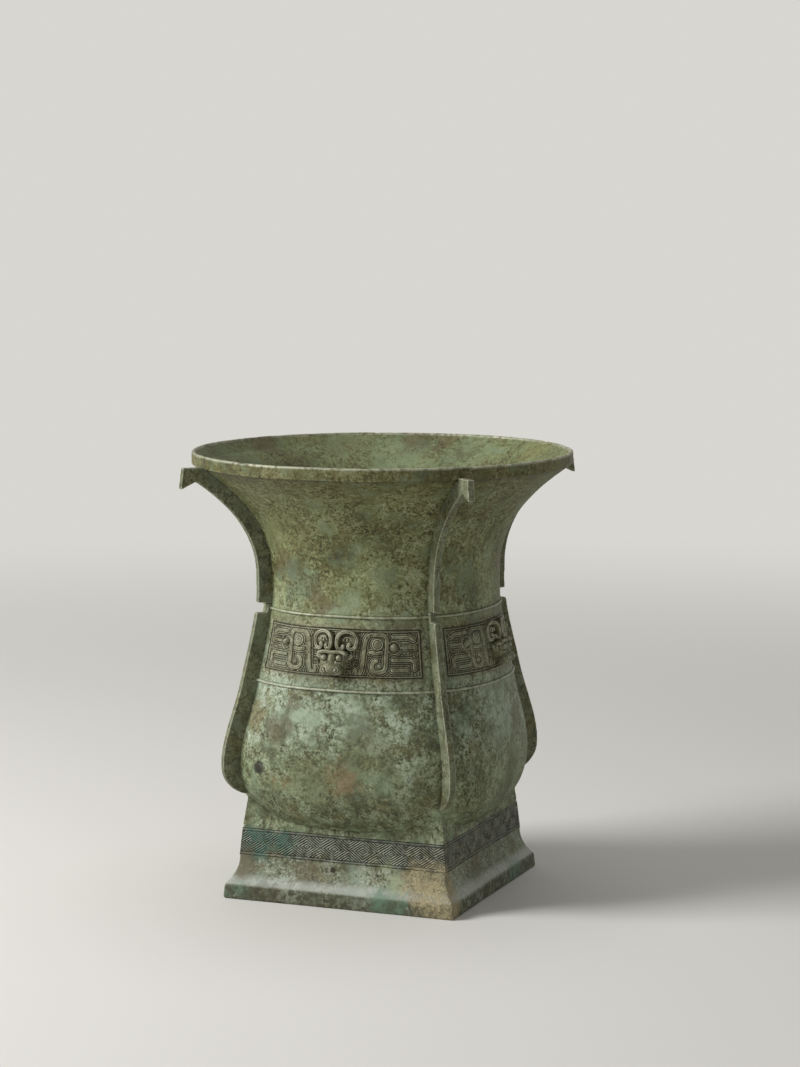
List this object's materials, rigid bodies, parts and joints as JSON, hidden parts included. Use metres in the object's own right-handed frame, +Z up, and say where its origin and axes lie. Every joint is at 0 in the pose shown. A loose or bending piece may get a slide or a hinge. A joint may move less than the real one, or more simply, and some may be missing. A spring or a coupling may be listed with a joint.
{
  "type": "ritual wine vessel",
  "caption": "Open bronze wine vessel with a round flaring mouth, rounded-square belly with corner flanges, an animal mask band and a hollow square foot.",
  "frame": {"origin": "centre of the square foot's resting face", "axes": "+Z up the vessel's axis to the mouth, -Y out of the front face with its mask"},
  "size_m": [0.197, 0.197, 0.2288],
  "materials": {
    "patinated_bronze": "matt grey-green patina mottled with brown and olive",
    "ornament_bronze": "dark olive patina with darker sunk ground",
    "flange_bronze": "grey-green patina, worn paler along the edges",
    "mask_bronze": "brown-olive patina, rubbed bright on the high points",
    "inner_bronze": "rough pale green and tan patina",
    "spacer_bronze": "dark brown, slightly sunk"
  },
  "bodies": {
    "root": {"rim_lip": "patinated_bronze", "trumpet_neck": "patinated_bronze", "belly": "patinated_bronze", "square_foot": "patinated_bronze", "waist_band": "ornament_bronze", "belly_floor": "inner_bronze", "upper_flange_front_left": "flange_bronze", "upper_flange_front_right": "flange_bronze", "upper_flange_back_right": "flange_bronze", "upper_flange_back_left": "flange_bronze", "lower_flange_front_left": "flange_bronze", "lower_flange_front_right": "flange_bronze", "lower_flange_back_right": "flange_bronze", "lower_flange_back_left": "flange_bronze", "animal_mask_front": "mask_bronze", "animal_mask_right": "mask_bronze", "animal_mask_back": "mask_bronze", "animal_mask_left": "mask_bronze", "wall_spacers": "spacer_bronze", "floor_spacers": "spacer_bronze"}
  },
  "joints": []
}
